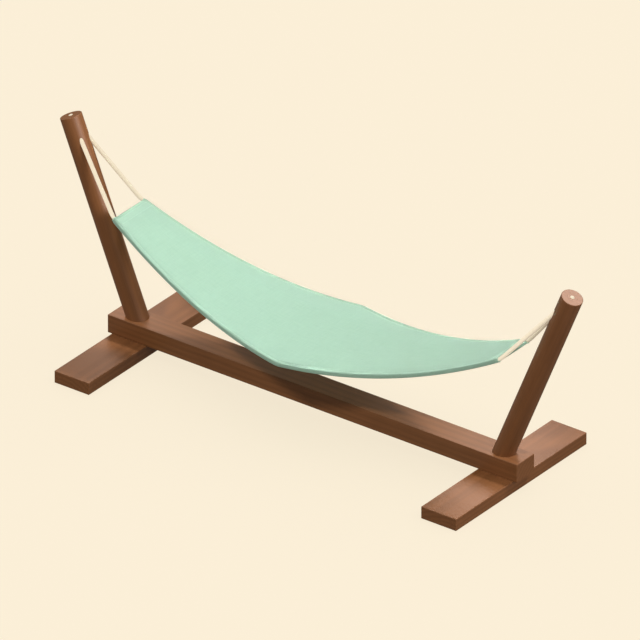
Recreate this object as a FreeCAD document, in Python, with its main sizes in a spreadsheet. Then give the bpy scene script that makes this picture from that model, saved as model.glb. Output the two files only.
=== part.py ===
import FreeCAD, Part
import math
import os
import Sketcher

# A freestanding baby hammock: a padded bed hung by four cords between two leaning posts,
# on a beam that lies across two feet. Millimetres. X runs along the beam, Y to the rear, Z up.
# The origin is on the floor, under the middle of the beam.

Vector = FreeCAD.Vector
UP = Vector(0, 0, 1)
REAR = Vector(0, 1, 0)

# Driving sizes: name, value, what it is
SIZES = (
    ("beam_length", "1200", "beam, end to end"),
    ("beam_width", "69", "beam, front to rear"),
    ("beam_height", "48", "beam, bottom to top"),
    ("foot_length", "514", "foot, front to rear"),
    ("foot_width", "102", "foot, along the beam"),
    ("foot_thickness", "32", "foot, floor to beam"),
    ("beam_overhang", "11.5", "beam's end past a foot's outer edge"),
    ("board_chamfer", "1", "bevel along the edges of the boards"),
    ("post_diameter", "54", "post"),
    ("post_lean_angle", "22.2", "post, degrees out of the upright"),
    ("post_height", "558", "middle of the post's top face above the floor"),
    ("post_rim", "1.5", "rounding of the post's top edge"),
    ("tenon_diameter", "36", "tenon under the post"),
    ("tenon_depth", "28", "tenon, along the post's axis"),
    ("glue_gap", "0.15", "gap around glued tenons, pegs, caps and inserts"),
    ("peg_diameter", "10", "peg across the tenon"),
    ("peg_drop", "13", "peg's axis below the beam's top"),
    ("peg_past", "6", "how far the peg runs past the tenon"),
    ("bolt_diameter", "8", "foot bolt's shank"),
    ("bolt_length", "40", "foot bolt under its head"),
    ("bolt_head_diameter", "13", "foot bolt's head"),
    ("bolt_head_height", "8", "foot bolt's head"),
    ("bolt_key", "6", "hexagon socket, across flats"),
    ("bolt_key_depth", "4", "hexagon socket"),
    ("bolt_spread_along", "64", "foot bolts, apart along the beam"),
    ("bolt_spread_across", "36", "foot bolts, apart across the beam"),
    ("bolt_play", "0.5", "gap around the bolt's shank in the foot"),
    ("recess_diameter", "20", "sunk hole for the bolt's head and washer"),
    ("recess_depth", "12", "sunk hole for the bolt's head and washer"),
    ("washer_diameter", "16", "washer under the bolt's head"),
    ("washer_thickness", "1.6", "washer under the bolt's head"),
    ("insert_diameter", "12", "threaded insert in the beam"),
    ("insert_length", "22", "threaded insert in the beam"),
    ("insert_play", "0.1", "gap between the bolt's shank and the insert"),
    ("bore_runout", "2", "blind holes run past what they hold by this"),
    ("rope_diameter", "9", "cords"),
    ("rope_gap", "0.2", "gap around a cord in its bore or hem"),
    ("flex_distance", "88", "post's top to the place where a cord starts to swing"),
    ("flex_gap", "0.3", "gap at the swinging ends of a cord"),
    ("pocket_diameter", "24", "pocket for the knot in the post's top"),
    ("pocket_depth", "38", "pocket for the knot in the post's top"),
    ("cap_thickness", "12", "wooden cap over the pocket"),
    ("knot_diameter", "20", "knot of the two cord ends"),
    ("knot_drop", "24", "middle of the knot below the post's top"),
    ("knot_tail_proud", "1", "knot's tail above the cap"),
    ("lead_start", "24", "post's top to where a cord comes out of the knot"),
    ("cord_reach", "172.5", "post's top to the bed's end, along the beam"),
    ("cord_drop", "193.5", "post's top to the bed's end, down"),
    ("bed_sag", "150", "bed's middle below its ends"),
    ("bed_mid_width", "343", "bed's width at its middle"),
    ("bed_end_width", "124", "bed's width at its ends"),
    ("canvas", "0.8", "thickness of the bed's cover"),
    ("layer_gap", "0.15", "gap between the bed's cover and its wadding"),
    ("hem_tail_length", "45", "cord sewn into the bed's side hem"),
    ("hem_tail_set", "1", "sewn cord's end inside the bed's end"),
    ("rod_diameter", "8", "spreader rod in the bed's end hem"),
    ("rod_set_back", "12", "spreader rod's axis inside the bed's end"),
)

doc = FreeCAD.newDocument("baby_hammock")
sheet = doc.addObject("Spreadsheet::Sheet", "Sizes")
for row, (alias, value, note) in enumerate(SIZES, start=1):
    sheet.set(f"A{row}", note)
    sheet.set(f"B{row}", value)
    sheet.setAlias(f"B{row}", alias)
doc.recompute()


def size(alias):
    """A driving size in millimetres or degrees"""
    return float(getattr(sheet, alias))


# Sizes that follow from the driving ones
FOOT_OFFSET = "(Sizes.beam_length / 2 - Sizes.beam_overhang - Sizes.foot_width / 2)"
BEAM_TOP = "(Sizes.foot_thickness + Sizes.beam_height)"
POST_LENGTH = f"((Sizes.post_height - {BEAM_TOP}) / cos(Sizes.post_lean_angle * 1deg))"
ROPE_RADIUS = "Sizes.rope_diameter / 2"
WASHER_BASE = "(Sizes.recess_depth - Sizes.washer_thickness)"
foot_offset = size("beam_length") / 2 - size("beam_overhang") - size("foot_width") / 2
beam_top = size("foot_thickness") + size("beam_height")
lean = math.radians(size("post_lean_angle"))
post_rise = size("post_height") - beam_top
rope_radius = size("rope_diameter") / 2
bed_half = foot_offset + post_rise * math.tan(lean) - size("cord_reach")
bed_end_height = size("post_height") - size("cord_drop")
bed_thickness = size("rope_diameter") + 2 * (size("canvas") + size("rope_gap"))
bed_taper = (size("bed_mid_width") - size("bed_end_width")) / 2 / bed_half

SIDES = (("left", -1), ("right", 1))
EDGES = (("front", -1), ("rear", 1))
made = {}


def keep(item, label):
    """Marks an object as one of the hammock's finished pieces"""
    item.Label = label
    made[label] = item
    return item


# Small tools for sketches, cylinders and cuts

def bind(item, prop, value):
    """Ties a property to the sheet when the value is an expression, or sets a plain number"""
    if isinstance(value, str):
        item.setExpression(prop, value)
    else:
        setattr(item, prop, value)


def sketch_on(body, name, role):
    """A sketch on one of the body's own base planes"""
    sketch = body.newObject("Sketcher::SketchObject", name)
    plane = next(item for item in body.Origin.OriginFeatures if item.Role == role)
    sketch.AttachmentSupport = [(plane, "")]
    sketch.MapMode = "FlatFace"
    return sketch


def draw_rectangle(sketch, across, up):
    """A rectangle centred on the sketch's origin"""
    start = 10
    corners = [Vector(-start, -start), Vector(start, -start), Vector(start, start), Vector(-start, start)]
    for number in range(4):
        sketch.addGeometry(Part.LineSegment(corners[number], corners[(number + 1) % 4]))
    for number in range(4):
        sketch.addConstraint(Sketcher.Constraint("Coincident", number, 2, (number + 1) % 4, 1))
    for number in (0, 2):
        sketch.addConstraint(Sketcher.Constraint("Horizontal", number))
    for number in (1, 3):
        sketch.addConstraint(Sketcher.Constraint("Vertical", number))
    sketch.addConstraint(Sketcher.Constraint("Symmetric", 0, 1, 2, 1, -1, 1))
    wide = sketch.addConstraint(Sketcher.Constraint("DistanceX", 0, 1, 0, 2, 2.0 * start))
    sketch.setExpression(f"Constraints[{wide}]", across)
    high = sketch.addConstraint(Sketcher.Constraint("DistanceY", 1, 1, 1, 2, 2.0 * start))
    sketch.setExpression(f"Constraints[{high}]", up)


def draw_circle(sketch, diameter, across="0", up="0"):
    """A circle whose middle is given from the sketch's origin"""
    start = 5.0
    circle = sketch.addGeometry(Part.Circle(Vector(start, start), UP, start))
    wide = sketch.addConstraint(Sketcher.Constraint("Diameter", circle, 2 * start))
    sketch.setExpression(f"Constraints[{wide}]", diameter)
    for kind, place in (("DistanceX", across), ("DistanceY", up)):
        number = sketch.addConstraint(Sketcher.Constraint(kind, -1, 1, circle, 3, start))
        sketch.setExpression(f"Constraints[{number}]", place)


def pad(body, sketch, length):
    feature = body.newObject("PartDesign::Pad", f"{sketch.Name}_pad")
    feature.Profile = sketch
    feature.setExpression("Length", length)
    return feature


def pocket(body, sketch, length, along_normal):
    """Cuts away from the sketch's plane, along its normal or against it, and checks that it cut"""
    doc.recompute()
    before = body.Shape.Volume
    feature = body.newObject("PartDesign::Pocket", f"{sketch.Name}_pocket")
    feature.Profile = sketch
    feature.Reversed = along_normal
    feature.setExpression("Length", length)
    doc.recompute()
    if body.Shape.Volume >= before:
        raise ValueError(f"{sketch.Name} cut nothing")
    return feature


def bevel_all(body, feature):
    """Takes the sharp arris off every edge of a board"""
    doc.recompute()
    bevel = body.newObject("PartDesign::Chamfer", f"{feature.Name}_arris")
    bevel.Base = (feature, [f"Edge{number + 1}" for number in range(len(feature.Shape.Edges))])
    bevel.setExpression("Size", "Sizes.board_chamfer")
    return bevel


def cylinder(name, radius, start, direction, height):
    """A cylinder from a point along a direction; sizes are numbers or expressions"""
    item = doc.addObject("Part::Cylinder", name)
    bind(item, "Radius", radius)
    bind(item, "Height", height)
    item.Placement = FreeCAD.Placement(start, FreeCAD.Rotation(UP, direction))
    return item


def ball(name, radius, middle, pole):
    """A sphere whose poles lie along a direction"""
    item = doc.addObject("Part::Sphere", name)
    bind(item, "Radius", radius)
    item.Placement = FreeCAD.Placement(middle, FreeCAD.Rotation(UP, pole))
    return item


def cut(name, base, tools):
    """Takes each tool out of the base in turn"""
    for number, tool in enumerate(tools, start=1):
        step = doc.addObject("Part::Cut", f"{name}_cut_{number}")
        step.Base = base
        step.Tool = tool
        base = step
    return base


def fuse(name, items):
    joined = doc.addObject("Part::MultiFuse", f"{name}_fuse")
    joined.Shapes = items
    joined.Refine = True
    return joined


# Where things are, worked out from the sizes

def post_axis(sign):
    """The post's direction, upwards and outwards"""
    return Vector(sign * math.sin(lean), 0, math.cos(lean))


def post_foot(sign):
    """Where the post's axis meets the beam's top"""
    return Vector(sign * foot_offset, 0, beam_top)


def post_top(sign):
    """The middle of the post's top face"""
    return post_foot(sign) + post_axis(sign) * (post_rise / math.cos(lean))


def bed_slope(x):
    """Angle of the bed's curve at a place along it, rising to the right"""
    return math.atan(2 * size("bed_sag") * x / bed_half ** 2)


def bed_height(x):
    """The bed's top face, a parabola between its two ends"""
    return bed_end_height - size("bed_sag") * (1 - (x / bed_half) ** 2)


def bed_point(x, y, depth):
    """A point under the bed's top face, by a depth measured square to the cloth"""
    slope = bed_slope(x)
    return Vector(x + depth * math.sin(slope), y, bed_height(x) - depth * math.cos(slope))


def bed_half_width(x, inset):
    """Half of the bed's width, drawn in from its straight sides by an inset"""
    return size("bed_mid_width") / 2 - bed_taper * abs(x) - inset * math.hypot(1, bed_taper)


def back_from_end(distance):
    """How far along X a place is that lies this far from the bed's end along the cloth"""
    return bed_half - distance * math.cos(bed_slope(bed_half))


def hem_point(sign, edge, distance):
    """The middle of the cord in a side hem, this far from the bed's end along the cloth"""
    inset = size("canvas") + size("rope_gap") + rope_radius
    point = bed_point(sign * back_from_end(distance), 0, bed_thickness / 2)
    point.y = edge * bed_half_width(point.x, inset)
    return point


class HemTail:
    """The straight run of cord sewn into the bed's side hem at one corner"""

    def __init__(self, sign, edge):
        near = size("hem_tail_set")
        far = near + size("hem_tail_length")
        outer, middle, inner = (hem_point(sign, edge, place) for place in (near, (near + far) / 2, far))
        settle = (middle - (outer + inner) / 2) / 2
        self.start = outer + settle
        self.direction = (inner - outer).normalize()
        self.length = (inner - outer).Length


class Cord:
    """One cord's straight line from the post's top to the bed's corner"""

    def __init__(self, sign, edge):
        self.top = post_top(sign)
        self.tail = HemTail(sign, edge)
        self.end = self.tail.start - self.tail.direction * (rope_radius + size("flex_gap"))
        self.direction = (self.end - self.top).normalize()
        self.flex = self.top + self.direction * size("flex_distance")
        self.span = (self.end - self.flex).Length

    def at(self, distance):
        return self.top + self.direction * distance


cords = {
    (side, edge): Cord(side_sign, edge_sign)
    for side, side_sign in SIDES
    for edge, edge_sign in EDGES
}


# Stand

def bolt_places(middle):
    """Where the four bolts of a foot are, as expressions from a middle along X"""
    along = "Sizes.bolt_spread_along / 2"
    across = "Sizes.bolt_spread_across / 2"
    return [
        (f"{middle} {x} {along}", f"0 {y} {across}")
        for x in ("-", "+")
        for y in ("-", "+")
    ]


def foot(side, sign):
    body = doc.addObject("PartDesign::Body", f"{side}_foot_board")
    outline = sketch_on(body, f"{side}_foot_outline", "XY_Plane")
    draw_rectangle(outline, "Sizes.foot_width", "Sizes.foot_length")
    bevel_all(body, pad(body, outline, "Sizes.foot_thickness"))
    recess = sketch_on(body, f"{side}_foot_recess", "XY_Plane")
    passage = sketch_on(body, f"{side}_foot_passage", "XY_Plane")
    for across, up in bolt_places("0"):
        draw_circle(recess, "Sizes.recess_diameter", across, up)
        draw_circle(passage, "Sizes.bolt_diameter + 2 * Sizes.bolt_play", across, up)
    pocket(body, recess, "Sizes.recess_depth", True)
    pocket(body, passage, "Sizes.foot_thickness", True)
    body.setExpression("Placement.Base.x", f"{sign} * {FOOT_OFFSET}")
    return keep(body, f"{side}_foot")


def tenon(name, sign, gap):
    """The post's tenon, or with a gap the socket that takes it"""
    start = post_foot(sign) - post_axis(sign) * (size("tenon_depth") + gap)
    height = f"Sizes.tenon_depth + {gap} + Sizes.post_diameter"
    return cylinder(name, f"Sizes.tenon_diameter / 2 + {gap}", start, post_axis(sign), height)


def peg(name, sign, gap):
    """The peg from the beam's rear face through the tenon, or with a gap its hole"""
    drop = size("peg_drop")
    along = sign * (foot_offset - drop * math.tan(lean))
    start = Vector(along, size("beam_width") / 2, beam_top - drop)
    length = f"Sizes.beam_width / 2 + Sizes.tenon_diameter / 2 + Sizes.peg_past + {gap}"
    return cylinder(name, f"Sizes.peg_diameter / 2 + {gap}", start, -REAR, length)


def beam():
    body = doc.addObject("PartDesign::Body", "base_beam_bar")
    outline = sketch_on(body, "beam_outline", "XY_Plane")
    draw_rectangle(outline, "Sizes.beam_length", "Sizes.beam_width")
    bevel_all(body, pad(body, outline, "Sizes.beam_height"))
    holes = sketch_on(body, "beam_insert_holes", "XY_Plane")
    for _, sign in SIDES:
        for across, up in bolt_places(f"{sign} * {FOOT_OFFSET}"):
            draw_circle(holes, "Sizes.insert_diameter + 2 * Sizes.glue_gap", across, up)
    pocket(body, holes, "Sizes.insert_length + Sizes.bore_runout", True)
    body.setExpression("Placement.Base.z", "Sizes.foot_thickness")
    tools = []
    for side, sign in SIDES:
        tools.append(tenon(f"{side}_socket", sign, size("glue_gap")))
        tools.append(peg(f"{side}_beam_peg_hole", sign, size("glue_gap")))
    return keep(cut("base_beam", body, tools), "base_beam")


def post(side, sign):
    """Round post: slanted shoulder and tenon below, knot pocket and two cord bores above"""
    axis = post_axis(sign)
    body = doc.addObject("PartDesign::Body", f"{side}_post_rod")
    circle = sketch_on(body, f"{side}_post_circle", "XY_Plane")
    draw_circle(circle, "Sizes.post_diameter")
    rod = pad(body, circle, f"{POST_LENGTH} + Sizes.post_diameter / 2")
    doc.recompute()
    top_edge = max(range(len(rod.Shape.Edges)), key=lambda n: rod.Shape.Edges[n].BoundBox.ZMin)
    rim = body.newObject("PartDesign::Fillet", f"{side}_post_rim")
    rim.Base = (rod, [f"Edge{top_edge + 1}"])
    rim.setExpression("Radius", "Sizes.post_rim")
    start = post_foot(sign) - axis * (size("post_diameter") / 2)
    body.Placement = FreeCAD.Placement(start, FreeCAD.Rotation(UP, axis))
    below = doc.addObject("Part::Box", f"{side}_post_below_shoulder")
    for prop in ("Length", "Width"):
        bind(below, prop, "4 * Sizes.post_diameter")
    bind(below, "Height", BEAM_TOP)
    reach = 2 * size("post_diameter")
    below.Placement.Base = post_foot(sign) - Vector(reach, reach, beam_top)
    shouldered = cut(f"{side}_post_shoulder", body, [below])
    turned = fuse(f"{side}_post_turned", [shouldered, tenon(f"{side}_tenon", sign, 0)])
    depth = size("pocket_depth")
    mouth = post_top(sign) - axis * depth
    tools = [
        cylinder(f"{side}_pocket", "Sizes.pocket_diameter / 2", mouth, axis, "2 * Sizes.pocket_depth"),
        peg(f"{side}_post_peg_hole", sign, size("glue_gap")),
    ]
    for edge, _ in EDGES:
        cord = cords[side, edge]
        tools.append(cylinder(
            f"{side}_{edge}_bore", f"{ROPE_RADIUS} + Sizes.rope_gap", cord.at(size("lead_start")),
            cord.direction, "Sizes.flex_distance"))
    return keep(cut(f"{side}_post", turned, tools), f"{side}_post")


def post_peg(side, sign):
    return keep(peg(f"{side}_post_peg_rod", sign, 0), f"{side}_post_peg")


def post_cap(side, sign):
    """Wooden plug over the knot, with a hole for the knot's tail"""
    axis = post_axis(sign)
    base = post_top(sign) - axis * size("cap_thickness")
    plug = cylinder(
        f"{side}_cap_plug", "Sizes.pocket_diameter / 2 - Sizes.glue_gap", base, axis, "Sizes.cap_thickness")
    hole = cylinder(
        f"{side}_cap_hole", f"{ROPE_RADIUS} + Sizes.rope_gap", base, axis, "Sizes.cap_thickness")
    return keep(cut(f"{side}_post_cap", plug, [hole]), f"{side}_post_cap")


# Foot fasteners: one of each is made, and each foot gets a group of four

def bolt_pattern(label, item, height):
    """A group of four copies of one fastener at a foot's bolt places"""
    side, sign = next(pair for pair in SIDES if label.startswith(pair[0]))
    group = doc.addObject("Part::Compound", f"{label}_group")
    copies = []
    for number, (across, up) in enumerate(bolt_places(f"{sign} * {FOOT_OFFSET}"), start=1):
        copy = doc.addObject("App::Link", f"{label}_{number}")
        copy.LinkedObject = item
        copy.setExpression("Placement.Base.x", across)
        copy.setExpression("Placement.Base.y", up)
        copy.setExpression("Placement.Base.z", height)
        copies.append(copy)
    group.Links = copies
    return keep(group, label)


def bolt():
    """Socket-head bolt, its head's underside at the origin"""
    origin = Vector()
    head = cylinder("bolt_head", "Sizes.bolt_head_diameter / 2", origin, -UP, "Sizes.bolt_head_height")
    shank = cylinder("bolt_shank", "Sizes.bolt_diameter / 2", origin, UP, "Sizes.bolt_length")
    key = doc.addObject("Part::Prism", "bolt_key_socket")
    key.Polygon = 6
    bind(key, "Circumradius", "Sizes.bolt_key / 2 / cos(30deg)")
    bind(key, "Height", "Sizes.bolt_key_depth")
    key.setExpression("Placement.Base.z", "-Sizes.bolt_head_height")
    return cut("bolt", fuse("bolt", [head, shank]), [key])


def ring(name, outer, inner, height):
    origin = Vector()
    body = cylinder(f"{name}_body", outer, origin, UP, height)
    hole = cylinder(f"{name}_hole", inner, origin, UP, height)
    return cut(name, body, [hole])


def foot_fasteners():
    screw = bolt()
    washer = ring(
        "washer", "Sizes.washer_diameter / 2", "Sizes.bolt_diameter / 2 + Sizes.bolt_play",
        "Sizes.washer_thickness")
    insert = ring(
        "insert", "Sizes.insert_diameter / 2", "Sizes.bolt_diameter / 2 + Sizes.insert_play",
        "Sizes.insert_length")
    for side, _ in SIDES:
        bolt_pattern(f"{side}_foot_bolts", screw, WASHER_BASE)
        bolt_pattern(f"{side}_foot_washers", washer, WASHER_BASE)
        bolt_pattern(f"{side}_foot_inserts", insert, "Sizes.foot_thickness")


# Cords

def knot(side, sign):
    """Knot of the two cord ends, with its tail up through the cap"""
    axis = post_axis(sign)
    middle = post_top(sign) - axis * size("knot_drop")
    lump = ball(f"{side}_knot_lump", "Sizes.knot_diameter / 2", middle, axis)
    tail = cylinder(
        f"{side}_knot_tail", ROPE_RADIUS, middle, axis, "Sizes.knot_drop + Sizes.knot_tail_proud")
    return keep(fuse(f"{side}_rope_knot", [lump, tail]), f"{side}_rope_knot")


def lead(side, edge, side_knot):
    """The cord inside the post, from the knot to the place where it starts to swing"""
    cord = cords[side, edge]
    name = f"{side}_{edge}_rope_lead"
    rim = size("rope_diameter") / 4
    run = cylinder(
        f"{name}_run", ROPE_RADIUS, cord.at(size("lead_start")), cord.direction,
        f"Sizes.flex_distance - Sizes.lead_start - {rim}")
    seat = ball(f"{name}_seat", f"{ROPE_RADIUS} + Sizes.flex_gap", cord.flex, cord.direction)
    return keep(cut(name, run, [side_knot, seat]), name)


def span(side, edge):
    """The taut cord from the post to the bed's corner, round at both ends so that it can turn"""
    cord = cords[side, edge]
    name = f"{side}_{edge}_rope_span"
    run = cylinder(f"{name}_run", ROPE_RADIUS, cord.flex, cord.direction, cord.span)
    ends = [
        ball(f"{name}_upper_end", ROPE_RADIUS, cord.flex, cord.direction),
        ball(f"{name}_lower_end", ROPE_RADIUS, cord.end, cord.direction),
    ]
    return keep(fuse(name, [run, *ends]), name)


def hem_tail(name, side, edge, gap):
    """The cord's end in the bed's hem, or with a gap the channel that holds it"""
    tail = cords[side, edge].tail
    start = tail.start - tail.direction * gap
    return cylinder(name, f"{ROPE_RADIUS} + {gap}", start, tail.direction, tail.length + 2 * gap)


def ropes():
    for side, sign in SIDES:
        side_knot = knot(side, sign)
        for edge, _ in EDGES:
            lead(side, edge, side_knot)
            span(side, edge)
            name = f"{side}_{edge}_rope_tail"
            keep(hem_tail(f"{name}_run", side, edge, 0), name)


# Bed

def bed_curve(depth, end_inset, y):
    """A parabola under the top face from end to end, drawn in at its ends"""
    x = back_from_end(end_inset)
    left = bed_point(-x, y, depth)
    right = bed_point(x, y, depth)
    lowest = bed_height(0) - depth
    curve = Part.BezierCurve()
    curve.setPoles([left, Vector(0, y, 2 * lowest - left.z), right])
    return curve.toShape(), left, right


def bed_layer(top_depth, bottom_depth, inset, end_inset):
    """The part of the bed between two depths, drawn in from its sides and its ends"""
    front = -size("bed_mid_width")
    upper, upper_left, upper_right = bed_curve(top_depth, end_inset, front)
    lower, lower_left, lower_right = bed_curve(bottom_depth, end_inset, front)
    ends = [Part.makeLine(upper_right, lower_right), Part.makeLine(lower_left, upper_left)]
    profile = Part.Face(Part.Wire(Part.__sortEdges__([upper, ends[0], lower, ends[1]])))
    strip = profile.extrude(REAR * (2 * size("bed_mid_width")))
    far = bed_half + 2 * bed_thickness
    corners = [(x, -bed_half_width(x, inset)) for x in (-far, 0, far)]
    corners += [(x, bed_half_width(x, inset)) for x in (far, 0, -far)]
    plan = Part.makePolygon([Vector(x, y, 0) for x, y in corners + corners[:1]])
    return strip.common(Part.Face(plan).extrude(UP * size("post_height")))


def bed_piece(name, shape):
    item = doc.addObject("Part::Feature", f"{name}_shape")
    item.Shape = shape
    return item


def spreader_rod(side, sign):
    """The rod across the bed's end, forked at both ends around the cords in the hems"""
    start, end = (hem_point(sign, edge_sign, size("rod_set_back")) for _, edge_sign in EDGES)
    blank = cylinder(f"{side}_rod_blank", "Sizes.rod_diameter / 2", start, REAR, (end - start).Length)
    forks = [hem_tail(f"{side}_{edge}_rod_fork", side, edge, size("layer_gap")) for edge, _ in EDGES]
    return keep(cut(f"{side}_spreader_rod", blank, forks), f"{side}_spreader_rod")


def hem_mouth(side, edge):
    """The opening in the bed's end wall where a cord goes into the side hem"""
    tail = cords[side, edge].tail
    start = tail.start - tail.direction * size("rope_diameter")
    return cylinder(
        f"{side}_{edge}_hem_mouth", f"{ROPE_RADIUS} + Sizes.rope_gap / 2", start, tail.direction,
        "Sizes.rope_diameter + 2 * Sizes.hem_tail_set")


def hem_rebate(side, edge):
    """The corner of the wadding that makes room for the cord in the side hem"""
    tail = cords[side, edge].tail
    room = rope_radius + size("rope_gap")
    item = doc.addObject("Part::Box", f"{side}_{edge}_hem_rebate")
    item.Length = tail.length + 2 * room
    item.Width = 2 * room
    item.Height = 2 * tail.length
    turn = FreeCAD.Rotation(UP, math.degrees(math.atan2(tail.direction.y, tail.direction.x)))
    corner = turn.multVec(Vector(-room, -room, 0)) - UP * tail.length
    item.Placement = FreeCAD.Placement(tail.start + corner, turn)
    return item


def bed():
    canvas = size("canvas")
    inner = canvas + size("layer_gap")
    seam = bed_thickness - canvas
    hem = size("rod_set_back") + size("rod_diameter") / 2 + size("layer_gap")
    shell = bed_layer(0, seam, 0, 0).cut(bed_layer(canvas, bed_thickness, canvas, canvas))
    mouths = [hem_mouth(*corner) for corner in cords]
    keep(cut("bed_top_cover", bed_piece("bed_top_cover", shell), mouths), "bed_top_cover")
    keep(bed_piece("bed_bottom_panel", bed_layer(seam, bed_thickness, 0, 0)), "bed_bottom_panel")
    filling = bed_layer(inner, bed_thickness - inner, inner, hem)
    rebates = [hem_rebate(*corner) for corner in cords]
    keep(cut("bed_wadding", bed_piece("bed_wadding", filling), rebates), "bed_wadding")
    for side, sign in SIDES:
        spreader_rod(side, sign)


# Assembly

beam()
for side, sign in SIDES:
    foot(side, sign)
    post(side, sign)
    post_peg(side, sign)
    post_cap(side, sign)
foot_fasteners()
ropes()
bed()
doc.recompute()

# Checks and files

for item in doc.Objects:
    if "Invalid" in item.State or "Error" in item.State:
        raise ValueError(f"{item.Label} did not compute: {item.State}")

os.makedirs("parts", exist_ok=True)
for label, item in made.items():
    if item.Shape.isNull() or not item.Shape.isValid() or not item.Shape.Solids:
        raise ValueError(f"{label} is not a sound solid")
    item.Shape.exportStep(f"parts/{label}.step")
    print(label, len(item.Shape.Solids), round(item.Shape.Volume / 1000, 2), "cm3")
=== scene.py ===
"""Looks of a freestanding baby hammock: a padded canvas bed, slung on four braided ropes between two
leaning posts."""
import math

import bpy
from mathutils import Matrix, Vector
from mathutils.bvhtree import BVHTree


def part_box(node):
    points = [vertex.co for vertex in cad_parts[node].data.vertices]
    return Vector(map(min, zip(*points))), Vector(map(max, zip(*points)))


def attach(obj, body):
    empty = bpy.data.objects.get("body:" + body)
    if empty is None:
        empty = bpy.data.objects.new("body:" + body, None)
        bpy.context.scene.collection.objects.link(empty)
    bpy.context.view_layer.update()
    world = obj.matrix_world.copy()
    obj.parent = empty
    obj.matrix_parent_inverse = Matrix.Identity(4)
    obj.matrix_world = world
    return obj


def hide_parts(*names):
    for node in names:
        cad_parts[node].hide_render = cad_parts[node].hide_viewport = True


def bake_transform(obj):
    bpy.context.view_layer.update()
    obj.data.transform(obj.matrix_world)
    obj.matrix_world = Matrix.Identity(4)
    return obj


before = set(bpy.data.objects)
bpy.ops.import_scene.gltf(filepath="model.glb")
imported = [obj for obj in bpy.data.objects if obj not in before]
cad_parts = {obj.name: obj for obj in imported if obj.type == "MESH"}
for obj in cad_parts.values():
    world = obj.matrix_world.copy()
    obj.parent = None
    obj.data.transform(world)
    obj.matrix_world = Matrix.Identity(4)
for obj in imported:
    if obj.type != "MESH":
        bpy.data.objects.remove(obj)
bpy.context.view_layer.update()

MM = 0.001
FULL_TURN = 2 * math.pi
X_AXIS = Vector((1, 0, 0))
Y_AXIS = Vector((0, 1, 0))
Z_AXIS = Vector((0, 0, 1))
SIDES = (("left", -1), ("right", 1))
EDGES = (("front", -1), ("rear", 1))

# Sizes of the stand, in metres
POST_LEAN = math.radians(22.2)
POST_TOP = Vector((732.6, 0, 558)) * MM

# Sizes of the bed
BED_HALF = 560.07 * MM
BED_SAG = 150 * MM
BED_END_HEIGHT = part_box("bed_top_cover")[1].z
BED_MID_HALF_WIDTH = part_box("bed_top_cover")[1].y
BED_END_HALF_WIDTH = 62 * MM
BED_TAPER = (BED_MID_HALF_WIDTH - BED_END_HALF_WIDTH) / BED_HALF
BED_THICKNESS = 11 * MM
CORNER_SOFTNESS = 4 * MM
EDGE_ROUND = 2 * MM
EDGE_SWELL = 0.4 * MM
EDGE_STEPS = 3
STITCH_INSET = 9 * MM
ROD_SEAM = 24 * MM
CROWN = 2.4 * MM
CROWN_RISE = 70 * MM
SEAM_DEPTH = 0.7 * MM
SEAM_SPREAD = 2.4 * MM
SEAM_FADE = 4  # power by which a seam fades where the cloth turns down at its edge
WEAVE_MAP = "weave"

# Grid of the bed's cloth: insets of its close lines beside the seams, and the step between the others
END_LINES = (EDGE_ROUND, 8 * MM, 14 * MM, 20 * MM, ROD_SEAM, 28 * MM)
SIDE_LINES = (EDGE_ROUND, 6 * MM, STITCH_INSET, 12 * MM, 17 * MM)
COLUMN_STEP = 6 * MM
ROW_STEP = 8 * MM
SMOOTHING_LEVELS = 1

# Route of the rope at the right rear corner; the other three are its mirror images
ROPE_ROUTE = (
    (0.7035, 0.0096, 0.5237),  # in the post's bore
    (0.6770, 0.0184, 0.4923),  # where it flexes as the bed swings
    (0.6001, 0.0439, 0.4016),  # pulled straight to six diameters from the hem
    (0.5660, 0.0552, 0.3613),  # at the mouth of the bed's hem
    (0.5581, 0.0567, 0.3572),  # in the hem
)
HEM_TAIL = (Vector((0.5618, 0.0561, 0.3591)), Vector((0.5224, 0.0638, 0.3388)))
ROPE_RADIUS = 5.3 * MM  # slack fibres stand a little outside the nominal size
ROPE_TIP = 0.05  # the end's radius, as a share of the rope's
ROPE_STEP = 0.8 * MM
HEM_RADIUS = 4.5 * MM
HEM_DEPTH = 9 * MM
HEM_DRAW_IN = 6 * MM
BRAID_YARNS = 8  # going each way round
BRAID_PITCH = 6 * MM
BRAID_RELIEF = 0.45 * MM
YARN_SIDES = 8
YARN_BREADTH = 0.6  # powers that flatten a yarn's crown: the lower, the flatter
YARN_REACH = 0.3
ROPE_SIDES = BRAID_YARNS * YARN_SIDES
ROPE_MAP = "braid"
SPLINE_ORDER = 3
SPLINE_STEPS = 24

# The camera's place, found from the picture's own lines
CAMERA_AZIMUTH = math.radians(36.824)
CAMERA_ELEVATION = math.radians(29.317)
CAMERA_TARGET = Vector((0, 0, 0.2514))
CAMERA_SIGHT = 200
FRAME_WIDTH = 1.5001
LENS = 1500
SENSOR = 36

# One wave texture's period, in texture units, at a scale of 1
WAVE_PERIOD = math.pi / 10

# Octaves of a noise texture
PLAIN_NOISE = 1.0
SOFT_NOISE = 2.0
FINE_NOISE = 3.0
FINEST_NOISE = 4.0


def linear(colour):
    """An sRGB hex colour as the linear colour that shaders take, by the curve of the sRGB standard"""
    channels = [int(colour[i:i + 2], 16) / 255 for i in (1, 3, 5)]
    return tuple(c / 12.92 if c <= 0.04045 else ((c + 0.055) / 1.055) ** 2.4 for c in channels) + (1,)


def connect(tree, target, inputs):
    """Sets a node's inputs; each is a value or another node's output"""
    for place, value in inputs.items():
        if isinstance(value, bpy.types.NodeSocket):
            tree.links.new(value, target.inputs[place])
        else:
            target.inputs[place].default_value = value


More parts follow.
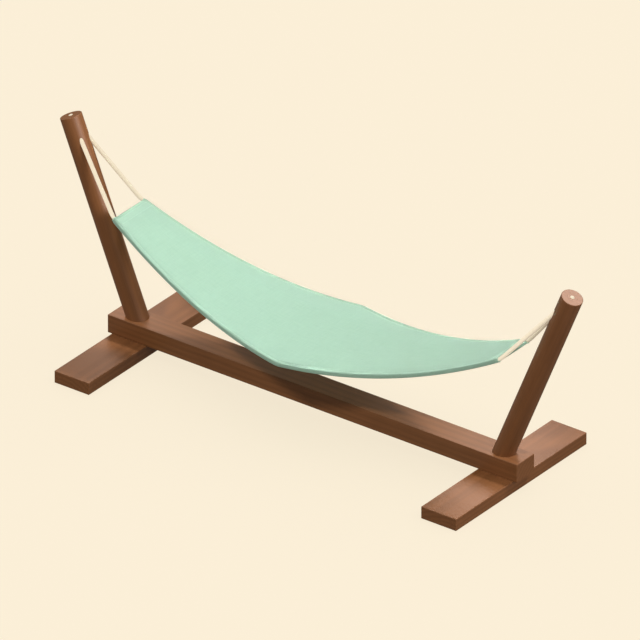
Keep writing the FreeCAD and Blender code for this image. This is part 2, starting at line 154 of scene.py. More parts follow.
def node(tree, kind, inputs=None, **settings):
    """Adds a node with its settings and inputs"""
    made = tree.nodes.new(kind)
    for name, value in settings.items():
        setattr(made, name, value)
    connect(tree, made, inputs or {})
    return made


def new_material(name):
    material = bpy.data.materials.new(name)
    material.use_nodes = True
    tree = material.node_tree
    tree.nodes.clear()
    shader = node(tree, "ShaderNodeBsdfPrincipled")
    node(tree, "ShaderNodeOutputMaterial", {"Surface": shader.outputs["BSDF"]})
    return material, tree, shader


# Wood

FIBRE_WIDTH = 3.5 * MM
FIBRE_STRETCH = 0.03  # how much slower the figure changes along the fibres than across them
FIBRE_ROUGHNESS = 0.62
RING_SPACING = 11 * MM
RING_WANDER = 3.5
RING_DETAIL_SCALE = 1.1
RING_SHARE = 0.35
TONE_PATCH = 90 * MM
TONE_SHARE = 0.5
FIGURE_LOW, FIGURE_HIGH = 0.45, 1.35
GLOSS_BELOW, GLOSS_ABOVE = 0.06, 0.08
GRAIN_STRENGTH = 0.15
GRAIN_DEPTH = 0.3 * MM
WOOD_IOR = 1.5
WOOD_SHINE = 0.35
STAINED_ROUGHNESS = 0.46
PLAIN_ROUGHNESS = 0.6


def wood(name, grain, pith, dark, light, roughness):
    """Sawn wood as a solid: streaks along its fibres, soft growth rings about its pith that turn to arcs on
    end grain, and slow changes of tone along the board"""
    material, tree, shader = new_material(name)
    turn = grain.rotation_difference(X_AXIS)
    place = node(tree, "ShaderNodeTexCoord").outputs["Object"]
    board = node(tree, "ShaderNodeMapping", {
        "Vector": place, "Rotation": tuple(turn.to_euler()), "Location": -(turn @ pith)}).outputs[0]
    fibre_place = node(tree, "ShaderNodeMapping", {
        "Vector": board, "Scale": (FIBRE_STRETCH, 1, 1)}).outputs[0]
    rings = node(tree, "ShaderNodeTexWave", {
        "Vector": fibre_place, "Scale": WAVE_PERIOD / RING_SPACING, "Distortion": RING_WANDER,
        "Detail": SOFT_NOISE, "Detail Scale": RING_DETAIL_SCALE},
        wave_type="RINGS", rings_direction="X").outputs["Fac"]
    fibres = node(tree, "ShaderNodeTexNoise", {
        "Vector": fibre_place, "Scale": 1 / FIBRE_WIDTH, "Detail": FINEST_NOISE,
        "Roughness": FIBRE_ROUGHNESS}).outputs["Fac"]
    tone = node(tree, "ShaderNodeTexNoise", {
        "Vector": board, "Scale": 1 / TONE_PATCH, "Detail": PLAIN_NOISE}).outputs["Fac"]
    ringed = node(tree, "ShaderNodeMath", {
        0: rings, 1: RING_SHARE, 2: fibres}, operation="MULTIPLY_ADD").outputs[0]
    figure = node(tree, "ShaderNodeMath", {
        0: tone, 1: TONE_SHARE, 2: ringed}, operation="MULTIPLY_ADD").outputs[0]
    level = node(tree, "ShaderNodeMapRange", {
        "Value": figure, "From Min": FIGURE_LOW, "From Max": FIGURE_HIGH}).outputs[0]
    ramp = node(tree, "ShaderNodeValToRGB", {"Fac": level})
    for stop, colour in zip(ramp.color_ramp.elements, (dark, light)):
        stop.color = linear(colour)
    rough = node(tree, "ShaderNodeMapRange", {
        "Value": fibres, "To Min": roughness - GLOSS_BELOW, "To Max": roughness + GLOSS_ABOVE}).outputs[0]
    bump = node(tree, "ShaderNodeBump", {
        "Height": fibres, "Strength": GRAIN_STRENGTH, "Distance": GRAIN_DEPTH}).outputs[0]
    connect(tree, shader, {
        "Base Color": ramp.outputs["Color"], "Roughness": rough, "Normal": bump,
        "IOR": WOOD_IOR, "Specular IOR Level": WOOD_SHINE})
    return material


def stained_wood(name, grain, pith):
    """Beech under a brown stain and satin lacquer: an even warm brown, low streaks, a broad soft sheen"""
    return wood(name, grain, pith, "#673F1F", "#7E502D", STAINED_ROUGHNESS)


def plain_beech(name, grain, pith):
    """Beech left plain: pale pinkish tan, close straight grain, almost no gloss"""
    return wood(name, grain, pith, "#B88B63", "#D9B48B", PLAIN_ROUGHNESS)


# Canvas and thread

THREAD_PITCH = 1.5 * MM  # cotton canvas has about 0.6 mm; drawn coarser so that it shows
WEAVE_REPEAT = 2 * THREAD_PITCH  # one thread over, one under
WAVE_SPAN = 2.0  # turns a wave from 0 and 1 into -1 and 1
WEAVE_SHARE = 0.5
SLUB_LENGTH = 45 * MM
SLUB_WIDTH = 3 * MM
SLUB_WAYS = (
    ("X", (1 / SLUB_WIDTH, 1 / SLUB_LENGTH, 1)),
    ("Y", (1 / SLUB_LENGTH, 1 / SLUB_WIDTH, 1)),
)
WEAVE_LOW, WEAVE_HIGH = 0.3, 1.7
WEAVE_STRENGTH = 0.35
WEAVE_DEPTH = 0.25 * MM
CANVAS_ROUGHNESS = 0.92
CANVAS_FUZZ = 0.12
CANVAS_FUZZ_ROUGHNESS = 0.5
COTTON_SHINE = 0.15
THREAD_ROUGHNESS = 0.55


def cotton_canvas(name):
    """Dyed cotton canvas in plain weave: matt mint green, a fine even grid of threads, faint uneven threads
    both ways, painted shade where the weave lies low, and a little pale fuzz at grazing angles"""
    material, tree, shader = new_material(name)
    place = node(tree, "ShaderNodeUVMap", uv_map=WEAVE_MAP).outputs[0]
    threads = []
    slubs = []
    for way, stretch in SLUB_WAYS:
        wave = node(tree, "ShaderNodeTexWave", {
            "Vector": place, "Scale": WAVE_PERIOD / WEAVE_REPEAT}, bands_direction=way).outputs["Fac"]
        threads.append(node(tree, "ShaderNodeMath", {
            0: wave, 1: WAVE_SPAN, 2: -WAVE_SPAN / 2}, operation="MULTIPLY_ADD").outputs[0])
        streak = node(tree, "ShaderNodeMapping", {"Vector": place, "Scale": stretch}).outputs[0]
        slubs.append(node(tree, "ShaderNodeTexNoise", {
            "Vector": streak, "Scale": 1.0, "Detail": SOFT_NOISE}, noise_dimensions="2D").outputs["Fac"])
    crossing = node(tree, "ShaderNodeMath", {0: threads[0], 1: threads[1]}, operation="MULTIPLY").outputs[0]
    uneven = node(tree, "ShaderNodeMath", {0: slubs[0], 1: slubs[1]}, operation="ADD").outputs[0]
    height = node(tree, "ShaderNodeMath", {
        0: crossing, 1: WEAVE_SHARE, 2: uneven}, operation="MULTIPLY_ADD").outputs[0]
    # The colour follows the weave's height: darker low points are painted shade between the threads, mixed
    # with the uneven tone of the slubs
    level = node(tree, "ShaderNodeMapRange", {
        "Value": height, "From Min": WEAVE_LOW, "From Max": WEAVE_HIGH}).outputs[0]
    ramp = node(tree, "ShaderNodeValToRGB", {"Fac": level})
    for stop, colour in zip(ramp.color_ramp.elements, ("#94B6A1", "#9EC0AB")):
        stop.color = linear(colour)
    bump = node(tree, "ShaderNodeBump", {
        "Height": height, "Strength": WEAVE_STRENGTH, "Distance": WEAVE_DEPTH}).outputs[0]
    connect(tree, shader, {
        "Base Color": ramp.outputs["Color"], "Normal": bump, "Roughness": CANVAS_ROUGHNESS,
        "Specular IOR Level": COTTON_SHINE, "Sheen Weight": CANVAS_FUZZ,
        "Sheen Roughness": CANVAS_FUZZ_ROUGHNESS})
    return material


def sewing_thread(name):
    """Polyester sewing thread, a shade paler than the canvas, with a slight gloss"""
    material, tree, shader = new_material(name)
    place = node(tree, "ShaderNodeTexCoord").outputs["Object"]
    tone = node(tree, "ShaderNodeTexNoise", {
        "Vector": place, "Scale": 1 / THREAD_PITCH, "Detail": PLAIN_NOISE}).outputs["Fac"]
    ramp = node(tree, "ShaderNodeValToRGB", {"Fac": tone})
    for stop, colour in zip(ramp.color_ramp.elements, ("#A9D0B8", "#C6E3D0")):
        stop.color = linear(colour)
    connect(tree, shader, {"Base Color": ramp.outputs["Color"], "Roughness": THREAD_ROUGHNESS})
    return material


# Rope

LINT_SIZE = 1.1 * MM
YARN_SHARE = 0.6
ROPE_LOW, ROPE_HIGH = 0.3, 1.2
LINT_STRENGTH = 0.3
LINT_DEPTH = 0.25 * MM
ROPE_ROUGHNESS = 0.9
ROPE_FUZZ = 0.15


def cotton_rope(name):
    """Braided cotton rope, undyed: soft pale cream, matt, with a little lint and uneven yarns"""
    material, tree, shader = new_material(name)
    place = node(tree, "ShaderNodeUVMap", uv_map=ROPE_MAP).outputs[0]
    yarn_place = node(tree, "ShaderNodeMapping", {
        "Vector": place, "Scale": (BRAID_YARNS, 1 / BRAID_PITCH, 1)}).outputs[0]
    yarns = node(tree, "ShaderNodeTexNoise", {
        "Vector": yarn_place, "Scale": 1.0, "Detail": PLAIN_NOISE}, noise_dimensions="2D").outputs["Fac"]
    surface = node(tree, "ShaderNodeTexCoord").outputs["Object"]
    lint = node(tree, "ShaderNodeTexNoise", {
        "Vector": surface, "Scale": 1 / LINT_SIZE, "Detail": FINE_NOISE}).outputs["Fac"]
    height = node(tree, "ShaderNodeMath", {
        0: yarns, 1: YARN_SHARE, 2: lint}, operation="MULTIPLY_ADD").outputs[0]
    level = node(tree, "ShaderNodeMapRange", {
        "Value": height, "From Min": ROPE_LOW, "From Max": ROPE_HIGH}).outputs[0]
    ramp = node(tree, "ShaderNodeValToRGB", {"Fac": level})
    for stop, colour in zip(ramp.color_ramp.elements, ("#E9DABD", "#F5E8D0")):
        stop.color = linear(colour)
    bump = node(tree, "ShaderNodeBump", {
        "Height": height, "Strength": LINT_STRENGTH, "Distance": LINT_DEPTH}).outputs[0]
    connect(tree, shader, {
        "Base Color": ramp.outputs["Color"], "Normal": bump, "Roughness": ROPE_ROUGHNESS,
        "Specular IOR Level": COTTON_SHINE, "Sheen Weight": ROPE_FUZZ})
    return material


# Metal and paper

STEEL_GRAIN = 1.2 * MM
BRASS_GRAIN = 0.8 * MM
METAL_SMOOTHEST, METAL_ROUGHEST = 0.24, 0.42
PAPER_GLOW = 0.903


def metal(name, dark, light, grain_size):
    """Plated or turned metal: bright, softly blurred by a fine grain"""
    material, tree, shader = new_material(name)
    place = node(tree, "ShaderNodeTexCoord").outputs["Object"]
    grains = node(tree, "ShaderNodeTexNoise", {
        "Vector": place, "Scale": 1 / grain_size, "Detail": FINE_NOISE}).outputs["Fac"]
    ramp = node(tree, "ShaderNodeValToRGB", {"Fac": grains})
    for stop, colour in zip(ramp.color_ramp.elements, (dark, light)):
        stop.color = linear(colour)
    rough = node(tree, "ShaderNodeMapRange", {
        "Value": grains, "To Min": METAL_SMOOTHEST, "To Max": METAL_ROUGHEST}).outputs[0]
    connect(tree, shader, {"Base Color": ramp.outputs["Color"], "Roughness": rough, "Metallic": 1.0})
    return material


def matt_paper(name):
    """The floor: matt cream paper with a soft glow of its own, so that shadows on it stay faint"""
    material, tree, shader = new_material(name)
    connect(tree, shader, {
        "Base Color": linear("#6E685D"), "Emission Color": linear("#FAEED7"),
        "Emission Strength": PAPER_GLOW, "Roughness": 1.0, "Specular IOR Level": 0.0})
    return material


# Meshes

def new_piece(name, vertices, faces, material, uv_map=None, uvs=None):
    """A smooth mesh piece at the origin; uvs holds one pair for each corner of each face, in order"""
    mesh = bpy.data.meshes.new(name)
    mesh.from_pydata(vertices, [], faces)
    if uvs:
        layer = mesh.uv_layers.new(name=uv_map)
        for corner, place in zip(layer.data, uvs):
            corner.uv = place
    mesh.shade_smooth()
    mesh.materials.append(material)
    piece = bpy.data.objects.new(name, mesh)
    bpy.context.scene.collection.objects.link(piece)
    return piece


def plain_mesh(piece):
    """Puts a piece's modifiers into its mesh"""
    depsgraph = bpy.context.evaluated_depsgraph_get()
    mesh = bpy.data.meshes.new_from_object(piece.evaluated_get(depsgraph))
    piece.modifiers.clear()
    piece.data = mesh


def mirrored(point, side_sign, edge_sign):
    """A point of the right rear corner at another corner"""
    return Vector((point[0] * side_sign, point[1] * edge_sign, point[2]))


def spline_points(points):
    """Points along the smooth line that has these as its control points"""
    curve = bpy.data.curves.new("line", "CURVE")
    curve.dimensions = "3D"
    spline = curve.splines.new("NURBS")
    spline.points.add(len(points) - 1)
    for control, place in zip(spline.points, points):
        control.co = (*place, 1)
    spline.order_u = SPLINE_ORDER
    spline.use_endpoint_u = True
    spline.resolution_u = SPLINE_STEPS
    holder = bpy.data.objects.new("line", curve)
    mesh = bpy.data.meshes.new_from_object(holder)
    line = [vertex.co.copy() for vertex in mesh.vertices]
    bpy.data.objects.remove(holder)
    bpy.data.curves.remove(curve)
    bpy.data.meshes.remove(mesh)
    return line


def evenly(line, step):
    """The line's points again, evenly spaced, each with its distance from the start"""
    lengths = [(b - a).length for a, b in zip(line, line[1:])]
    total = sum(lengths)
    count = math.ceil(total / step)
    places = []
    index = 0
    passed = 0
    for i in range(count + 1):
        distance = total * i / count
        while index < len(lengths) - 1 and passed + lengths[index] < distance:
            passed += lengths[index]
            index += 1
        share = (distance - passed) / lengths[index]
        places.append((line[index].lerp(line[index + 1], share), distance))
    return places


def braid_height(share, distance):
    """How high a braid stands at a share of the way round: from 0 between its yarns to 1 on a crown"""
    one_way = share * BRAID_YARNS + distance / BRAID_PITCH
    other_way = share * BRAID_YARNS - distance / BRAID_PITCH
    across, along = one_way, other_way
    if (math.floor(one_way) + math.floor(other_way)) % 2:
        across, along = other_way, one_way
    breadth = abs(math.sin(math.pi * across)) ** YARN_BREADTH
    return breadth * abs(math.sin(math.pi * along)) ** YARN_REACH


def rope_rings(places, radius_at):
    """Rings of vertices along a rope's line, in and out with its braid"""
    total = places[-1][1]
    vertices = []
    normal = (places[1][0] - places[0][0]).orthogonal().normalized()
    for i, (place, distance) in enumerate(places):
        ahead = places[min(i + 1, len(places) - 1)][0]
        behind = places[max(i - 1, 0)][0]
        tangent = (ahead - behind).normalized()
        normal = (normal - tangent * normal.dot(tangent)).normalized()
        binormal = tangent.cross(normal)
        crown = radius_at(total - distance)
        for j in range(ROPE_SIDES):
            angle = FULL_TURN * j / ROPE_SIDES
            reach = crown - BRAID_RELIEF * (1 - braid_height(j / ROPE_SIDES, distance))
            vertices.append(place + (normal * math.cos(angle) + binormal * math.sin(angle)) * reach)
    return vertices


def rope_piece(name, line, material, radius_at):
    """A braided rope along a line; radius_at gives its radius from the distance left to its end"""
    places = evenly(line, ROPE_STEP)
    vertices = rope_rings(places, radius_at)
    faces = []
    uvs = []
    for i, ((_, low), (_, high)) in enumerate(zip(places, places[1:])):
        near = i * ROPE_SIDES
        far = near + ROPE_SIDES
        for j in range(ROPE_SIDES):
            k = (j + 1) % ROPE_SIDES
            faces.append((near + j, near + k, far + k, far + j))
            left = j / ROPE_SIDES
            right = (j + 1) / ROPE_SIDES
            uvs += [(left, low), (right, low), (right, high), (left, high)]
    for ring, order in ((0, -1), (len(places) - 1, 1)):
        middle = len(vertices)
        vertices.append(places[ring][0])
        for j in range(ROPE_SIDES):
            corners = (ring * ROPE_SIDES + j, ring * ROPE_SIDES + (j + 1) % ROPE_SIDES, middle)
            faces.append(corners[::order])
            uvs += [(j / ROPE_SIDES, places[ring][1])] * len(corners)
    return new_piece(name, vertices, faces, material, ROPE_MAP, uvs)


# The bed

def bed_slope(x):
    return math.atan(2 * BED_SAG * x / BED_HALF ** 2)


def bed_upward(x):
    """The direction square to the cloth"""
    slope = bed_slope(x)
    return Vector((-math.sin(slope), 0, math.cos(slope)))


def bed_place(x, y, depth):
    """A point under the bed's top face, by a depth measured square to the cloth"""
    slope = bed_slope(x)
    height = BED_END_HEIGHT - BED_SAG * (1 - (x / BED_HALF) ** 2)
    return Vector((x + depth * math.sin(slope), y, height - depth * math.cos(slope)))


def bed_half_width(x, inset):
    """Half of the bed's width, drawn in by an inset, with its middle corners softened"""
    along = math.hypot(x, CORNER_SOFTNESS)
    return BED_MID_HALF_WIDTH - BED_TAPER * along - inset * math.hypot(1, BED_TAPER)


def bed_reach(inset):
    """How far along X the bed goes, drawn in from its end along the cloth"""
    return BED_HALF - inset * math.cos(bed_slope(BED_HALF))


def seam_distance(x, y):
    """How far a place on the cloth is from the nearest line of stitches"""
    side = (bed_half_width(x, 0) - abs(y)) / math.hypot(1, BED_TAPER)
    end = (BED_HALF - abs(x)) / math.cos(bed_slope(BED_HALF))
    lines = [abs(side - STITCH_INSET)]
    if side >= STITCH_INSET:
        lines.append(abs(end - ROD_SEAM))
    lines.append(math.hypot(abs(end - STITCH_INSET), max(0, STITCH_INSET - side)))
    return min(lines)


def edge_profile():
    """The bed's edge from its top face round to its bottom face: pairs of inset and depth"""
    top = []
    for i in range(EDGE_STEPS + 1):
        turn = math.pi / 2 * i / EDGE_STEPS
        top.append((EDGE_ROUND * (1 - math.sin(turn)), EDGE_ROUND * (1 - math.cos(turn))))
    bottom = [(inset, BED_THICKNESS - depth) for inset, depth in reversed(top)]
    return top + [(-EDGE_SWELL, BED_THICKNESS / 2)] + bottom


def lines_from_edge(insets, half, step):
    """Grid lines across a panel, as pairs of inset and share: close ones beside its two edges, even ones
    between"""
    count = 2 * math.ceil((half - insets[-1]) / step)
    inner = [(insets[-1], 2 * i / count - 1) for i in range(1, count)]
    near = [(inset, -1) for inset in insets]
    return near + inner + [(inset, 1) for inset in reversed(insets)]


class BedGrid:
    """The bed's cloth as a grid of places: its two panels and the band around them"""

    def __init__(self):
        self.columns = lines_from_edge(END_LINES, BED_HALF, COLUMN_STEP)
        self.rows = lines_from_edge(SIDE_LINES, BED_MID_HALF_WIDTH, ROW_STEP)
        self.vertices = []
        self.faces = []
        self.uvs = []
        self.sewn = []
        self.build()

    def place(self, column, row, inset, depth):
        """A grid place, moved by an inset where it is on the panel's rim"""
        column_inset, column_share = self.columns[column]
        row_inset, row_share = self.rows[row]
        if column in (0, len(self.columns) - 1):
            column_inset = inset
        if row in (0, len(self.rows) - 1):
            row_inset = inset
        x = column_share * bed_reach(column_inset)
        y = row_share * bed_half_width(x, row_inset)
        return bed_place(x, y, depth)

    def panel(self, depth, upward):
        """Adds one panel and gives the number of its first vertex"""
        first = len(self.vertices)
        across = len(self.rows)
        for column, (column_inset, _) in enumerate(self.columns):
            for row, (row_inset, _) in enumerate(self.rows):
                if row_inset <= STITCH_INSET or column_inset in (EDGE_ROUND, ROD_SEAM):
                    self.sewn.append(len(self.vertices))
                self.vertices.append(self.place(column, row, EDGE_ROUND, depth))
        for column in range(len(self.columns) - 1):
            for row in range(across - 1):
                near = first + column * across + row
                corners = [near, near + across, near + across + 1, near + 1]
                if not upward:
                    corners.reverse()
                self.faces.append(corners)
                self.uvs += [self.vertices[corner].xy for corner in corners]
        return first

    def rim(self):
        """The panel's rim as pairs of column and row, once around"""
        last_column = len(self.columns) - 1
        last_row = len(self.rows) - 1
        front = [(column, 0) for column in range(last_column)]
        right = [(last_column, row) for row in range(last_row)]
        rear = [(column, last_row) for column in range(last_column, 0, -1)]
        left = [(0, row) for row in range(last_row, 0, -1)]
        return front + right + rear + left

    def build(self):
        """Adds both panels, and the band from the one's rim to the other's"""
        top = self.panel(0, True)
        bottom = self.panel(BED_THICKNESS, False)
        rim = self.rim()
        profile = edge_profile()
        loops = [[top + column * len(self.rows) + row for column, row in rim]]
        for inset, depth in profile[1:-1]:
            loops.append([])
            for column, row in rim:
                loops[-1].append(len(self.vertices))
                self.sewn.append(len(self.vertices))
                self.vertices.append(self.place(column, row, inset, depth))
        loops.append([bottom + column * len(self.rows) + row for column, row in rim])
        around = 0
        for n in range(len(rim)):
            m = (n + 1) % len(rim)
            step = (self.vertices[loops[0][m]] - self.vertices[loops[0][n]]).length
            for upper, lower, (_, high), (_, low) in zip(loops, loops[1:], profile, profile[1:]):
                self.faces.append([upper[n], lower[n], lower[m], upper[m]])
                self.uvs += [(around, high), (around, low), (around + step, low), (around + step, high)]
            around += step


SIM_FRAMES = 20
SIM_QUALITY = 6
SIM_PRESSURE = 4.0
SIM_SHRINK = -0.004  # below zero: the cloth is cut a little larger than it lies


def fill_with_wadding(piece, sewn):
    """Lets the filling press the two panels out between their seams, and keeps the result in the mesh"""
    scene = bpy.context.scene
    rest = [vertex.co.copy() for vertex in piece.data.vertices]
    group = piece.vertex_groups.new(name="sewn")
    group.add(sewn, 1.0, "REPLACE")
    cloth = piece.modifiers.new("filling", "CLOTH")
    cloth.settings.quality = SIM_QUALITY
    cloth.settings.use_pressure = True
    cloth.settings.uniform_pressure_force = SIM_PRESSURE
    cloth.settings.vertex_group_mass = group.name
    cloth.settings.shrink_min = SIM_SHRINK
    cloth.settings.effector_weights.gravity = 0
    cloth.point_cache.frame_end = SIM_FRAMES
    for moment in range(1, SIM_FRAMES + 1):
        scene.frame_set(moment)
    swollen = piece.evaluated_get(bpy.context.evaluated_depsgraph_get())
    moved = [vertex.co.copy() for vertex in swollen.data.vertices]
    piece.modifiers.remove(cloth)
    piece.vertex_groups.clear()
    scene.frame_set(1)
    for vertex, start, end in zip(piece.data.vertices, rest, moved):
        rise = min(1, seam_distance(start.x, start.y) / CROWN_RISE)
        most = CROWN * rise * (2 - rise)
        change = end - start
        if change.length > most:
            change *= most / change.length
        vertex.co = start + change


def press_seams(piece):
    """Draws the cloth in along its lines of stitches"""
    mesh = piece.data
    normals = [vertex.normal.copy() for vertex in mesh.vertices]
    for vertex, normal in zip(mesh.vertices, normals):
        off = seam_distance(vertex.co.x, vertex.co.y) / SEAM_SPREAD
        level = abs(normal.dot(bed_upward(vertex.co.x)))
        vertex.co -= normal * SEAM_DEPTH * math.exp(-off * off) * level ** SEAM_FADE


def padded_bed(material):
    """The bed's two panels with their filling"""
    grid = BedGrid()
    bed = new_piece("padded_bed", grid.vertices, grid.faces, material, WEAVE_MAP, grid.uvs)
    fill_with_wadding(bed, grid.sewn)
    smooth = bed.modifiers.new("rounding", "SUBSURF")
    smooth.levels = SMOOTHING_LEVELS
    smooth.render_levels = SMOOTHING_LEVELS
    plain_mesh(bed)
    press_seams(bed)
    bed.data.shade_smooth()
    return bed


# Stitches and eyelets

STITCH_PITCH = 4.6 * MM
STITCH_LENGTH = 3.6 * MM
STITCH_SHORTEST, STITCH_LONGEST = 0.9, 1.06  # shares of the stitch's length
STITCH_SEGMENTS = 6
STITCH_RINGS = 4
UNIT_BALL_RADIUS = 0.5
THREAD_DIAMETER = 0.9 * MM
STITCH_SEED = 7


def stitching_tree():
    """Stitches of thread laid end to end along every line of the mesh"""
    tree = bpy.data.node_groups.new("topstitching", "GeometryNodeTree")
    tree.interface.new_socket("Lines", in_out="INPUT", socket_type="NodeSocketGeometry")
    for name in ("Pitch", "Length", "Thread diameter"):
        tree.interface.new_socket(name, in_out="INPUT", socket_type="NodeSocketFloat")
    tree.interface.new_socket("Seed", in_out="INPUT", socket_type="NodeSocketInt")
    tree.interface.new_socket("Thread", in_out="INPUT", socket_type="NodeSocketMaterial")
    tree.interface.new_socket("Stitches", in_out="OUTPUT", socket_type="NodeSocketGeometry")
    given = node(tree, "NodeGroupInput").outputs
    line = node(tree, "GeometryNodeMeshToCurve", {"Mesh": given["Lines"]}).outputs[0]
    holes = node(tree, "GeometryNodeResampleCurve", {
        "Curve": line, "Length": given["Pitch"]}, mode="LENGTH").outputs[0]
    stitch = node(tree, "GeometryNodeMeshUVSphere", {
        "Segments": STITCH_SEGMENTS, "Rings": STITCH_RINGS, "Radius": UNIT_BALL_RADIUS}).outputs["Mesh"]
    heading = node(tree, "FunctionNodeAlignRotationToVector", {
        "Vector": node(tree, "GeometryNodeInputTangent").outputs[0]}, axis="X").outputs[0]
    pull = node(tree, "FunctionNodeRandomValue", {
        "Min": STITCH_SHORTEST, "Max": STITCH_LONGEST, "Seed": given["Seed"]}).outputs["Value"]
    length = node(tree, "ShaderNodeMath", {0: given["Length"], 1: pull}, operation="MULTIPLY").outputs[0]
    shape = node(tree, "ShaderNodeCombineXYZ", {
        "X": length, "Y": given["Thread diameter"], "Z": given["Thread diameter"]}).outputs[0]
    row = node(tree, "GeometryNodeInstanceOnPoints", {
        "Points": holes, "Instance": stitch, "Rotation": heading, "Scale": shape}).outputs[0]
    whole = node(tree, "GeometryNodeRealizeInstances", {"Geometry": row}).outputs[0]
    sewn = node(tree, "GeometryNodeSetMaterial", {
        "Geometry": whole, "Material": given["Thread"]}).outputs[0]
    node(tree, "NodeGroupOutput", {"Stitches": sewn})
    return tree


def stitch_lines(bed):
    """The lines of stitches on both panels, laid on the bed's surface: points and edges"""
    corners = [vertex.co for vertex in bed.data.vertices]
    surface = BVHTree.FromPolygons(corners, [polygon.vertices[:] for polygon in bed.data.polygons])
    points = []
    edges = []

    def lay(route, depth, closed):
        first = len(points)
        for x, y in route:
            middle = bed_place(x, y, BED_THICKNESS / 2)
            outward = (bed_place(x, y, depth) - middle).normalized()
            hit = surface.ray_cast(middle, outward)[0]
            points.append(hit)
        count = len(route)
        spans = count if closed else count - 1
        edges.extend((first + i, first + (i + 1) % count) for i in range(spans))

    reach = bed_reach(STITCH_INSET)
    seam = bed_reach(ROD_SEAM)
    steps = math.ceil(2 * reach / STITCH_PITCH)
    along = [reach * (2 * i / steps - 1) for i in range(steps + 1)]
    front = [(x, -bed_half_width(x, STITCH_INSET)) for x in along]
    rear = [(x, bed_half_width(x, STITCH_INSET)) for x in reversed(along)]
    for depth in (0, BED_THICKNESS):
        lay(front + rear, depth, True)
        for _, sign in SIDES:
            half = bed_half_width(seam, STITCH_INSET)
            across = math.ceil(2 * half / STITCH_PITCH)
            lay([(sign * seam, half * (2 * i / across - 1)) for i in range(across + 1)], depth, False)
    return points, edges


def topstitching(bed, thread):
    """The rows of stitches on the bed"""
    points, edges = stitch_lines(bed)
    mesh = bpy.data.meshes.new("topstitching")
    mesh.from_pydata(points, edges, [])
    piece = bpy.data.objects.new("topstitching", mesh)
    bpy.context.scene.collection.objects.link(piece)
    tree = stitching_tree()
    modifier = piece.modifiers.new("stitches", "NODES")
    modifier.node_group = tree
    values = {"Pitch": STITCH_PITCH, "Length": STITCH_LENGTH, "Thread diameter": THREAD_DIAMETER,
              "Seed": STITCH_SEED, "Thread": thread}
    for socket in tree.interface.items_tree:
        if socket.in_out == "INPUT" and socket.name in values:
            modifier[socket.identifier] = values[socket.name]
    plain_mesh(piece)
    piece.data.shade_smooth()
    return piece


EYELET_RADIUS = 5.5 * MM
EYELET_CORD = 0.95 * MM
EYELET_STITCHES = 22
EYELET_GROOVE = 0.18  # depth between its stitches, as a share of its cord
EYELET_PROUD = 1 * MM
EYELET_AROUND = 132
EYELET_SECTION = 10


def eyelet(name, middle, axis, material):
    """A thread-bound rim around the mouth where a rope goes into the hem"""
    turn = Z_AXIS.rotation_difference(axis)
    vertices = []
    faces = []
    for i in range(EYELET_AROUND):
        angle = FULL_TURN * i / EYELET_AROUND
        crest = abs(math.cos(angle * EYELET_STITCHES / 2))
        rib = EYELET_CORD * (1 - EYELET_GROOVE + EYELET_GROOVE * crest)
        next_i = (i + 1) % EYELET_AROUND
        for j in range(EYELET_SECTION):
            bend = FULL_TURN * j / EYELET_SECTION
            out = EYELET_RADIUS + rib * math.cos(bend)
            place = Vector((out * math.cos(angle), out * math.sin(angle), rib * math.sin(bend)))
            vertices.append(middle + turn @ place)
            next_j = (j + 1) % EYELET_SECTION
            faces.append([i * EYELET_SECTION + j, next_i * EYELET_SECTION + j,
                          next_i * EYELET_SECTION + next_j, i * EYELET_SECTION + next_j])
    return new_piece(name, vertices, faces, material)


# Ropes

KNOT_TURNS = 1.75
KNOT_RADIUS = 5.2 * MM
KNOT_DROP = 24 * MM
KNOT_NECK = KNOT_DROP / 4
KNOT_PITCH = 9 * MM
KNOT_TAIL_PROUD = 1 * MM
KNOT_STEPS = 12


def post_axis(sign):
    return Vector((sign * math.sin(POST_LEAN), 0, math.cos(POST_LEAN)))


def knot_line(sign):
    """From the rope's end in the post's cap down to the turns of its stopper knot"""
    axis = post_axis(sign)
    top = mirrored(POST_TOP, sign, 1)
    across = axis.cross(Y_AXIS)
    line = [top + axis * KNOT_TAIL_PROUD, top - axis * KNOT_NECK]
    for i in range(round(KNOT_TURNS * KNOT_STEPS) + 1):
        angle = FULL_TURN * i / KNOT_STEPS
        down = KNOT_DROP - KNOT_PITCH + KNOT_PITCH * i / KNOT_STEPS
        outward = Y_AXIS * math.cos(angle) + across * math.sin(angle)
        line.append(top - axis * down + outward * KNOT_RADIUS)
    return spline_points(line)


def free_radius(left):
    """The rope's radius at a distance from its end in the hem, whose mouth draws it in"""
    drawn = min(1, max(0, (HEM_DEPTH + HEM_DRAW_IN - left) / HEM_DRAW_IN))
    rounding = max(0, 1 - left / HEM_RADIUS)
    end = max(ROPE_TIP, math.sqrt(1 - rounding ** 2))
    return (ROPE_RADIUS + (HEM_RADIUS - ROPE_RADIUS) * drawn) * end


def ropes(material):
    """Adds the four ropes with their knots and sewn tails, and gives the pieces that show"""
    shown = []
    for side, side_sign in SIDES:
        knot = rope_piece(f"{side}_stopper_knot", knot_line(side_sign), material,
                          lambda left: ROPE_RADIUS)
        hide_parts(f"{side}_rope_knot")
        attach(knot, "stand")
        for edge, edge_sign in EDGES:
            corner = f"{side}_{edge}"
            line = spline_points([mirrored(point, side_sign, edge_sign) for point in ROPE_ROUTE])
            rope = rope_piece(f"{corner}_rope", line, material, free_radius)
            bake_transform(rope)
            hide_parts(f"{corner}_rope_lead", f"{corner}_rope_span")
            tail_line = [mirrored(point, side_sign, edge_sign) for point in HEM_TAIL]
            tail = rope_piece(f"{corner}_sewn_tail", tail_line, material, lambda left: HEM_RADIUS)
            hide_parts(f"{corner}_rope_tail")
            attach(tail, "hammock")
            shown.append(rope)
        shown.append(knot)
    return shown


# Finishes of the stand, and the whole bed

